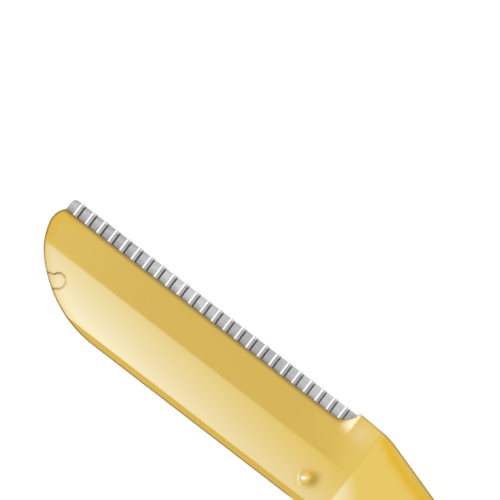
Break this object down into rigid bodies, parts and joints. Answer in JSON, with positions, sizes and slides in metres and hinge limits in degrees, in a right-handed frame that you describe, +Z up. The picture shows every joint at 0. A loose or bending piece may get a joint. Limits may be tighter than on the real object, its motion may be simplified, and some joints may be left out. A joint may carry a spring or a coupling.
{
  "type": "eyebrow razor",
  "caption": "Facial razor for shaping eyebrows: a slim angled two-shell plastic handle clamps a straight steel blade whose edge is crossed by small guard bars.",
  "frame": {"origin": "under the middle of the razor's outline box, on the surface that it lies on", "axes": "+X along the blade, from its free end towards the handle's tail; +Y from the spine towards the cutting edge; +Z up, out of the face that the picture shows"},
  "size_m": [0.1422, 0.0302, 0.0047],
  "materials": {
    "shell_plastic": "warm yellow moulded plastic, satin gloss",
    "blade_steel": "fine grind marks square to the edge",
    "guard_steel": "bright drawn steel"
  },
  "bodies": {
    "root": {"front_shell": "shell_plastic", "back_shell": "shell_plastic", "blade": "blade_steel", "guard_bar_01": "guard_steel", "guard_bar_02": "guard_steel", "guard_bar_03": "guard_steel", "guard_bar_04": "guard_steel", "guard_bar_05": "guard_steel", "guard_bar_06": "guard_steel", "guard_bar_07": "guard_steel", "guard_bar_08": "guard_steel", "guard_bar_09": "guard_steel", "guard_bar_10": "guard_steel", "guard_bar_11": "guard_steel", "guard_bar_12": "guard_steel", "guard_bar_13": "guard_steel", "guard_bar_14": "guard_steel", "guard_bar_15": "guard_steel", "guard_bar_16": "guard_steel", "guard_bar_17": "guard_steel", "guard_bar_18": "guard_steel", "guard_bar_19": "guard_steel", "guard_bar_20": "guard_steel", "guard_bar_21": "guard_steel", "guard_bar_22": "guard_steel", "guard_bar_23": "guard_steel", "guard_bar_24": "guard_steel"}
  },
  "joints": []
}
